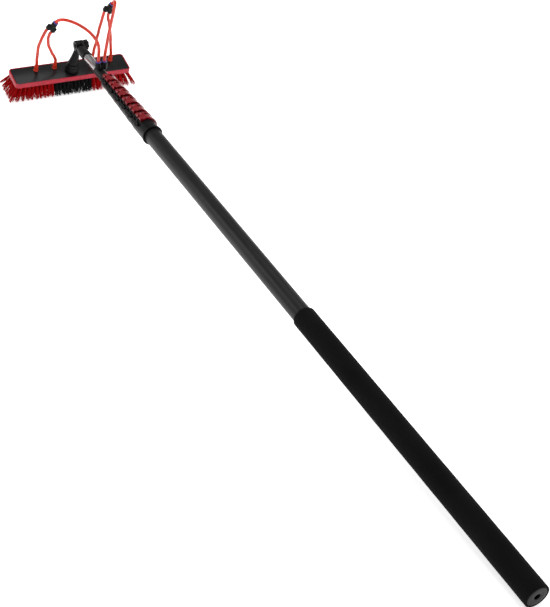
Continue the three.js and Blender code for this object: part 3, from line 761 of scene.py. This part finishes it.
# ---------------------------------------------------------------- flip clamps
class ClampFrame:
    """Where one clamp's pivot, screw and nut are, round the pole's axis."""

    def __init__(self, clamp):
        self.radius = tube_radius(clamp)
        self.pivot = Vector(polar(self.radius + PIVOT_STANDOFF, PIVOT_ANGLE))
        self.nut = Vector(polar(self.radius + NUT_STANDOFF, NUT_ANGLE))
        self.reach = (self.nut - self.pivot).length
        self.toward = (self.nut - self.pivot).normalized()
        self.outward = Vector((self.toward.y, -self.toward.x))
        self.lever_end = clamp_end(clamp) - LEVER_SETBACK
        self.lever_start = self.lever_end - LEVER_LENGTH
        self.middle = (self.lever_start + self.lever_end) / 2

    def at_pivot(self, bm):
        return shifted(bm, self.pivot.x, 0, self.pivot.y)

    def along_screw(self, bm):
        return aimed(bm, (self.toward.x, 0, self.toward.y), (self.pivot.x, self.middle, self.pivot.y))

    def seat(self, u, w, start, end):
        """A block placed from the nut seat: u runs along the screw and w away from the tube."""
        corners = [(u[0], w[0]), (u[1], w[0]), (u[1], w[1]), (u[0], w[1])]
        return prism([self.nut + self.toward * a + self.outward * b for a, b in corners], start, end)


def make_clamp_body(clamp):
    spot = ClampFrame(clamp)
    start, end, step = clamp_start(clamp), clamp_end(clamp), sleeve_end(clamp)
    outer = spot.radius + CLAMP_WALL
    lip = FIRST_CLAMP_LIP if clamp == 1 else CLAMP_LIP
    sleeve = spot.radius + GLUE_GAP
    grip = tube_radius(clamp + 1) + GLUE_GAP
    collar = lathe([
        (sleeve, start), (outer + lip, start), (outer + lip, start + 0.004), (outer, start + 0.0055),
        (outer, end - 0.0015), (outer - 0.0015, end), (grip, end), (grip, step), (sleeve, step),
    ], 64, 0.0004, closed=True)
    lug = spot.seat((-0.006, 0), (-0.005, 0.0034), spot.lever_start, spot.lever_end)
    core = rod(spot.radius + 0.001, spot.lever_start - 0.001, spot.lever_end + 0.001, 64)
    slot = spot.seat((-0.0084, -0.006), (-0.008, 0.007), step + 0.002, end + 0.001)
    bore = spot.along_screw(rod(SHANK_RADIUS + PART_GAP, -0.002, spot.reach + 0.004, 20))
    relief = spot.at_pivot(rod(LEVER_HUB_RADIUS + 0.0005, spot.lever_start - 0.0005, spot.lever_end + 0.0005))
    nut_seat = spot.along_screw(rod(NUT_SEAT_RADIUS, spot.reach, spot.reach + 0.009, 24))
    shape = carved(joined(collar, carved(lug, core)), slot, bore, relief, nut_seat)
    make(f"clamp_{clamp}_body", bevelled(shape, 0.0003), AT_POLE, "black", section_body(clamp))


def lever_arm(spot):
    """The curved arm: a channel with raised edges that runs round the clamp from its hub to its free end."""
    inner = spot.radius + CLAMP_WALL + LEVER_CLEARANCE
    ridge, ridge_width = 0.0009, 0.0042
    steps = 44
    bm = bmesh.new()
    loops = []
    for i in range(steps + 1):
        share = i / steps
        angle = PIVOT_ANGLE + (LEVER_END_ANGLE - 5 - PIVOT_ANGLE) * share
        tail = max(0, (share - 0.86) / 0.14)
        lift = LEVER_TAB * tail * tail
        outer = inner + LEVER_THICKNESS + lift
        low = inner + 0.0012 * tail * tail
        hollow = ridge * min(1, 6 * share) * min(1, 6 * (1 - share))
        taper = 0.0016 * tail
        y0, y1 = spot.lever_start + taper, spot.lever_end - taper
        section = [
            (low, y0), (outer - 0.0006, y0), (outer, y0 + 0.0008), (outer, y0 + ridge_width - 0.001),
            (outer - hollow, y0 + ridge_width), (outer - hollow, y1 - ridge_width),
            (outer, y1 - ridge_width + 0.001), (outer, y1 - 0.0008), (outer - 0.0006, y1), (low, y1),
        ]
        loops.append([bm.verts.new((*polar(r, angle), y)) for r, y in section])
    for vertex in bm.verts:
        vertex.co = Vector((vertex.co.x, vertex.co.z, vertex.co.y))
    for a, b in zip(loops, loops[1:]):
        for i in range(len(a)):
            j = (i + 1) % len(a)
            bm.faces.new((a[i], a[j], b[j], b[i]))
    bm.faces.new(loops[0])
    bm.faces.new(loops[-1])
    return bm


def make_clamp_lever(clamp):
    spot = ClampFrame(clamp)
    hub = spot.at_pivot(rod(LEVER_HUB_RADIUS, spot.lever_start, spot.lever_end, 40, 0.0006))
    bore = spot.at_pivot(rod(PIN_RADIUS + PART_GAP, spot.lever_start - 0.001, spot.lever_end + 0.001, 24))
    arc = [polar(SLOT_REACH, angle) for angle in (262, 230, 200, 170, 140, 102)]
    sweep = [polar(SLOT_ROOT_RADIUS, 290), *arc, polar(SLOT_ROOT_RADIUS, 66)]
    shank_slot = spot.at_pivot(prism(sweep, spot.middle - SLOT_HALF_WIDTH, spot.middle + SLOT_HALF_WIDTH))
    outer = spot.radius + CLAMP_WALL + LEVER_CLEARANCE + LEVER_THICKNESS
    across, up = polar(1, WINDOW_ANGLE)
    punch = rod(WINDOW_RADIUS, 0, outer + 0.006, 32, 0.0001)
    window = aimed(punch, (across, 0, up), (0, spot.lever_end - WINDOW_SETBACK, 0))
    shape = carved(joined(lever_arm(spot), hub), bore, shank_slot, window)
    make(f"clamp_{clamp}_lever", bevelled(shape, 0.00035), AT_POLE, "lever", f"lever_{clamp}")


def make_clamp_bolt(clamp):
    spot = ClampFrame(clamp)
    pin = spot.at_pivot(rod(PIN_RADIUS, spot.lever_start + 0.0004, spot.lever_end - 0.0004, 24))
    nut_start = spot.reach + PART_GAP
    nut_end = nut_start + NUT_THICKNESS
    shank = spot.along_screw(rod(SHANK_RADIUS, 0, nut_end + 0.0008, 20))
    nut = spot.along_screw(rod(NUT_RADIUS, nut_start, nut_end, 6, 0))
    make(f"clamp_{clamp}_bolt", bevelled(joined(pin, shank, nut), 0.0002), AT_POLE, "black_steel",
         section_body(clamp))


def make_clamps():
    for clamp in range(1, SECTION_COUNT):
        make_clamp_body(clamp)
        make_clamp_lever(clamp)
        make_clamp_bolt(clamp)


# ---------------------------------------------------------------- neck and knuckle
def make_neck():
    inner = NECK_RADIUS - NECK_WALL
    tube = carved(ring(NECK_RADIUS, inner, NECK_START, NECK_END, 72), splitter_port())
    make("neck_tube", tube, AT_POLE, "neck", "tip_section")
    bore = NECK_RADIUS + GLUE_GAP
    edge = NECK_RADIUS + 0.0022
    ring_end = YOKE_START - PART_GAP
    profile = [(bore, RING_START), (edge, RING_START), (NECK_RADIUS + 0.0026, RING_START + 0.002),
               (edge, ring_end), (bore, ring_end)]
    make("neck_ring", lathe(profile, 72, 0.0006, closed=True), AT_POLE, "black", "tip_section")


def make_yoke():
    bore = NECK_RADIUS + GLUE_GAP
    wall = bore + 0.0016
    cup = lathe([
        (0, YOKE_START), (wall, YOKE_START), (wall, NECK_END - 0.002), (wall - 0.0012, NECK_END + 0.014),
        (wall - 0.0044, NECK_END + 0.023), (0, NECK_END + 0.025),
    ], 64, 0.0012)
    disc = aimed(rod(HUB_RADIUS, EAR_INNER_X, EAR_OUTER_X, 64, 0.0008), (1, 0, 0), (0, HINGE_Y, 0))
    root = aimed(rod(0.009, EAR_INNER_X, EAR_INNER_X + 0.0024, 48), (1, 0, 0), (0, NECK_END + 0.011, 0))
    soft = blended(joined(cup, hulled(disc, root)), 0.0006, 3)
    neck_room = rod(bore, YOKE_START - 0.002, NECK_END + 0.0005, 64)
    bolt_bore = aimed(rod(BOLT_RADIUS + PART_GAP, -0.005, 0.02), (1, 0, 0), (0, HINGE_Y, 0))
    make("knuckle_yoke", carved(soft, neck_room, bolt_bore), AT_POLE, "dark", "tip_section")


def make_knuckle_bolt():
    face = HUB_OUTER_X - PART_GAP
    knob_end = EAR_OUTER_X + PART_GAP + KNOB_COLLAR + KNOB_WIDTH
    shank = rod(BOLT_RADIUS, face - 0.001, knob_end - 0.0015, 28)
    head = lathe([(0, face - 0.0033), (BOLT_HEAD_RADIUS - 0.002, face - 0.0027), (BOLT_HEAD_RADIUS, face),
                  (0, face)], 40)
    slit = block((0.0012, 0.0016, 0.009), (0, face - 0.0033, 0))
    bolt = carved(joined(shank, head), slit)
    make("knuckle_bolt", aimed(bolt, (1, 0, 0)), AT_HINGE, "black_steel", "brush_head")


def make_knob():
    collar_start = EAR_OUTER_X + PART_GAP
    start = collar_start + KNOB_COLLAR
    end = start + KNOB_WIDTH
    outline = []
    for i in range(KNOB_POINTS):
        angle = 2 * math.pi * i / KNOB_POINTS
        radius = KNOB_RADIUS + KNOB_LOBE_HEIGHT * math.cos(KNOB_LOBES * angle)
        outline.append((radius * math.cos(angle), radius * math.sin(angle)))
    star = bevelled(prism(outline, start, end), 0.0009, 3)
    collar = rod(KNOB_COLLAR_RADIUS, collar_start, start + 0.001, 48)
    bore = rod(BOLT_RADIUS + PART_GAP, collar_start - 0.001, end - 0.001, 28)
    knob = carved(joined(star, collar), bore)
    make("knuckle_knob", aimed(knob, (1, 0, 0)), AT_HINGE, "black", "knuckle_knob")


# ---------------------------------------------------------------- hose splitters
def collet():
    bore = HOSE_RADIUS + 0.0005
    profile = [(bore, -COLLET_DEPTH), (COLLET_RADIUS, -COLLET_DEPTH), (COLLET_RADIUS, FLANGE_START),
               (COLLET_FLANGE_RADIUS, FLANGE_START), (COLLET_FLANGE_RADIUS, FLANGE_END), (bore, FLANGE_END)]
    return lathe(profile, 48, 0.0004, closed=True)


def make_pole_splitter():
    half = OUTLET_SPACING / 2
    barrels = [shifted(rod(OUTLET_RADIUS, 0, OUTLET_LENGTH, 48, 0.0008), x, 0, 0) for x in (-half, half)]
    bridge = block((OUTLET_SPACING, 0.012, 0.012), (0, 0.006, 0))
    stem = rod(STEM_RADIUS, -0.004, 0.006, 40)
    soft = blended(joined(*barrels, bridge, stem), 0.0004, 3)
    floor = OUTLET_LENGTH - COLLET_SOCKET_DEPTH
    sockets = [shifted(rod(COLLET_SOCKET_RADIUS, floor, OUTLET_LENGTH + 0.002, 48, 0), x, 0, 0)
               for x in (-half, half)]
    place = AT_POLE @ Matrix.Translation((0, SPLITTER_Y, SPLITTER_HEIGHT))
    make("pole_splitter", aimed(carved(soft, *sockets), (0, 0, 1)), place, "black", "tip_section")
    for side, x in (("left", -half), ("right", half)):
        name = f"pole_collet_{side}"
        spot = place @ Matrix.Translation((x, 0, OUTLET_LENGTH))
        make(name, aimed(collet(), (0, 0, 1)), spot, "collar", name)


def make_upper_splitter(side):
    """One upper splitter and its collet, which are the pieces on the pole hose that enters them."""
    centre, direction = UPPER_SPLITTERS[side]
    half = LEG_SPACING / 2
    legs = [shifted(rod(LEG_RADIUS, -LEG_LENGTH, 0, 48, 0.0008), x, 0, 0) for x in (-half, half)]
    shoulder = block((LEG_SPACING, 0.010, 2 * LEG_RADIUS - 0.002), (0, -0.003, 0))
    stem = rod(UPPER_STEM_RADIUS, -0.006, UPPER_STEM_END, 48, 0.0008)
    soft = blended(joined(*legs, shoulder, stem), 0.0004, 3)
    floor = UPPER_STEM_END - UPPER_SOCKET_DEPTH
    body = carved(soft, rod(COLLET_SOCKET_RADIUS, floor, UPPER_STEM_END + 0.002, 48, 0))
    splitter = make(f"{side}_splitter", aimed(body, direction, centre), AT_HINGE, "black", "brush_head")
    at = Vector(centre) + Vector(direction).normalized() * UPPER_STEM_END
    ring_piece = make(f"{side}_collet", aimed(collet(), direction, at), AT_HINGE, "collar", f"{side}_collet")
    return [splitter, ring_piece]


# ---------------------------------------------------------------- brush
def make_arm():
    hub = aimed(rod(HUB_RADIUS, HUB_OUTER_X, HUB_INNER_X, 64, 0.001), (1, 0, 0))
    arm_end = BRUSH_DROP - SOCKET_HEIGHT - 0.0005
    stem = lathe([
        (0, 0), (ARM_RADIUS, 0), (ARM_RADIUS, ARM_STRAIGHT), (0.0074, 0.020), (0.0088, 0.028),
        (0.0103, 0.038), (0.012, 0.048), (0.0134, arm_end), (0, arm_end),
    ], 64, 0.0015)
    for vertex in stem.verts:
        share = max(0, vertex.co.y - ARM_STRAIGHT) / (arm_end - ARM_STRAIGHT)
        vertex.co.x += ARM_TOP_X + (ARM_FOOT_X - ARM_TOP_X) * share ** 2
    soft = blended(joined(hub, aimed(stem, (0, 0, -1))), 0.0006, 4)
    spigot = aimed(rod(SPIGOT_RADIUS, arm_end - 0.0005, arm_end + 0.0125, 48), (0, 0, -1), (ARM_FOOT_X, 0, 0))
    bore = aimed(rod(BOLT_RADIUS + PART_GAP, -0.03, 0.03), (1, 0, 0))
    recess = aimed(rod(BOLT_HEAD_RADIUS + 0.0006, -0.03, HUB_OUTER_X + 0.001, 40), (1, 0, 0))
    make("gooseneck_arm", carved(joined(soft, spigot), bore, recess), AT_BRUSH, "black", "brush_head")


def make_brush_socket():
    bore = SPIGOT_RADIUS + PART_GAP
    socket = lathe([
        (0, PART_GAP), (SOCKET_RADIUS, PART_GAP), (SOCKET_RADIUS, 0.007), (0.017, 0.008), (0.0164, 0.014),
        (0.0154, 0.015), (0.0144, SOCKET_HEIGHT), (bore, SOCKET_HEIGHT), (bore, SOCKET_FLOOR),
        (0, SOCKET_FLOOR),
    ], 64, 0.0007)
    place = AT_BRUSH @ Matrix.Translation((ARM_FOOT_X, 0, -BRUSH_DROP))
    make("brush_socket", aimed(socket, (0, 0, 1)), place, "black", "brush_head")


def rectangle(length, width, radius, steps=8):
    """A rectangle with round corners, as points in the XY plane."""
    points = []
    for turn, (sx, sy) in enumerate(((1, 1), (-1, 1), (-1, -1), (1, -1))):
        for step in range(steps + 1):
            angle = math.pi / 2 * (turn + step / steps)
            points.append((sx * (length / 2 - radius) + radius * math.cos(angle),
                           sy * (width / 2 - radius) + radius * math.sin(angle)))
    return points


def layered(levels, radius):
    """A closed slab of the brush's outline: each level is (inset from the edge, height)."""
    bm = bmesh.new()
    loops = []
    for inset, z in levels:
        outline = rectangle(BRUSH_LENGTH - 2 * inset, BRUSH_WIDTH - 2 * inset, max(radius - inset, 0.001))
        loops.append([bm.verts.new((BRUSH_X + x, BRUSH_Y + y, z)) for x, y in outline])
    for a, b in zip(loops, loops[1:]):
        for i in range(len(a)):
            j = (i + 1) % len(a)
            bm.faces.new((a[i], a[j], b[j], b[i]))
    bm.faces.new(loops[0])
    bm.faces.new(loops[-1])
    return bm


def make_block():
    top = -BRUSH_DROP
    rim_top = top + 0.0006
    floor = top - 0.0024
    levels = [(0.0006, top - BLOCK_HEIGHT), (0, top - BLOCK_HEIGHT + 0.0006), (0, top - 0.0085),
              (0.0004, top - 0.0081), (0.0004, top - 0.0075), (0, top - 0.0071), (0, rim_top - 0.0014),
              (0.0004, rim_top - 0.0005), (0.0012, rim_top), (RIM - 0.0004, rim_top), (RIM, rim_top - 0.0004),
              (RIM, floor)]
    make("brush_block", layered(levels, OUTLINE_RADIUS), AT_BRUSH, "rim", "brush_head")
    edge = RIM + PART_GAP
    plate = [(edge, floor + PART_GAP), (edge, top - 0.0006), (edge + 0.0003, top - 0.0002),
             (edge + 0.0009, top)]
    make("top_plate", layered(plate, OUTLINE_RADIUS), AT_BRUSH, "plate", "brush_head")


def strand(bm, root, tip, radius, bow):
    """One filament: a thin tapering prism that bends once."""
    middle = root.lerp(tip, 0.5) + bow
    loops = []
    for point, size in ((root, radius), (middle, radius * 0.9), (tip, radius * 0.55)):
        spots = [(size * math.cos(a), size * math.sin(a)) for a in FILAMENT_CORNERS]
        loops.append([bm.verts.new((point.x + x, point.y + y, point.z)) for x, y in spots])
    for a, b in zip(loops, loops[1:]):
        for i in range(3):
            j = (i + 1) % 3
            bm.faces.new((a[i], a[j], b[j], b[i]))
    bm.faces.new(loops[0])
    bm.faces.new(loops[-1])


def make_bristles():
    """Rows of tufts that spread at their tips and lean outwards towards the brush's edges."""
    draw = random.Random(7)
    parts = {"bristles_left": bmesh.new(), "bristles_middle": bmesh.new(), "bristles_right": bmesh.new()}
    root_z = -BRUSH_DROP - BLOCK_HEIGHT + 0.0004
    length = BRISTLE_LENGTH + 0.0002
    for column in range(TUFT_COLUMNS):
        x = (column - (TUFT_COLUMNS - 1) / 2) * TUFT_COLUMN_PITCH
        end = "left" if x < 0 else "right"
        side = "bristles_middle" if abs(x) < BLACK_HALF_LENGTH else f"bristles_{end}"
        lean_x = math.copysign((BRISTLE_END_FLARE + 0.001) * min(1, abs(x) / END_COLUMN_X) ** 5, x)
        for row in range(TUFT_ROWS):
            y = (row - (TUFT_ROWS - 1) / 2) * TUFT_ROW_PITCH
            lean_y = EDGE_ROW_LEAN * (y / EDGE_ROW_Y) * abs(y / EDGE_ROW_Y)
            twist = draw.uniform(-TUFT_TWIST, TUFT_TWIST)
            for _ in range(TUFT_FILAMENTS):
                angle = draw.uniform(0, 2 * math.pi)
                spread = math.sqrt(draw.random())
                dx, dy = spread * math.cos(angle), spread * math.sin(angle)
                reach = length * (1 - 0.11 * abs(dx) ** 1.5 - 0.03 * draw.random())
                share = reach / length
                root = Vector((BRUSH_X + x + TUFT_ROOT_RADIUS * dx,
                               BRUSH_Y + y + TUFT_ROOT_RADIUS * dy, root_z))
                tip = Vector((BRUSH_X + x + TUFT_TIP_SPREAD_X * dx + lean_x * share + twist,
                              BRUSH_Y + y + TUFT_TIP_SPREAD_Y * dy + lean_y * share, root_z - reach))
                bow = Vector((draw.uniform(-1, 1), draw.uniform(-1, 1), 0)) * FILAMENT_BOW
                strand(parts[side], root, tip, FILAMENT_RADIUS, bow)
    for name, bm in parts.items():
        dark = name == "bristles_middle"
        make(name, bm, AT_BRUSH, "black_bristle" if dark else "red_bristle", "brush_head")


def make_jets():
    for i, x in enumerate(JET_X):
        boot = lathe([(0, PART_GAP), (0.0064, PART_GAP), (0.0064, 0.0025), (0.0054, 0.004), (0.0050, 0.009),
                      (0.0052, 0.0105), (0.0049, 0.012), (0.0048, JET_HEIGHT), (0, JET_HEIGHT)], 48, 0.0006)
        place = AT_BRUSH @ Matrix.Translation((BRUSH_X + x, JET_Y, -BRUSH_DROP))
        make(f"jet_{i + 1}", aimed(boot, (0, 0, 1)), place, "hose", "brush_head")


make_camera()
make_hoses({f"{side}_pole_hose": make_upper_splitter(side) for side in UPPER_SPLITTERS})
make_floor()
make_studio()
make_tubes()
make_grip()
make_butt_plug()
make_clamps()
make_neck()
make_yoke()
make_knuckle_bolt()
make_knob()
make_pole_splitter()
make_arm()
make_brush_socket()
make_block()
make_bristles()
make_jets()
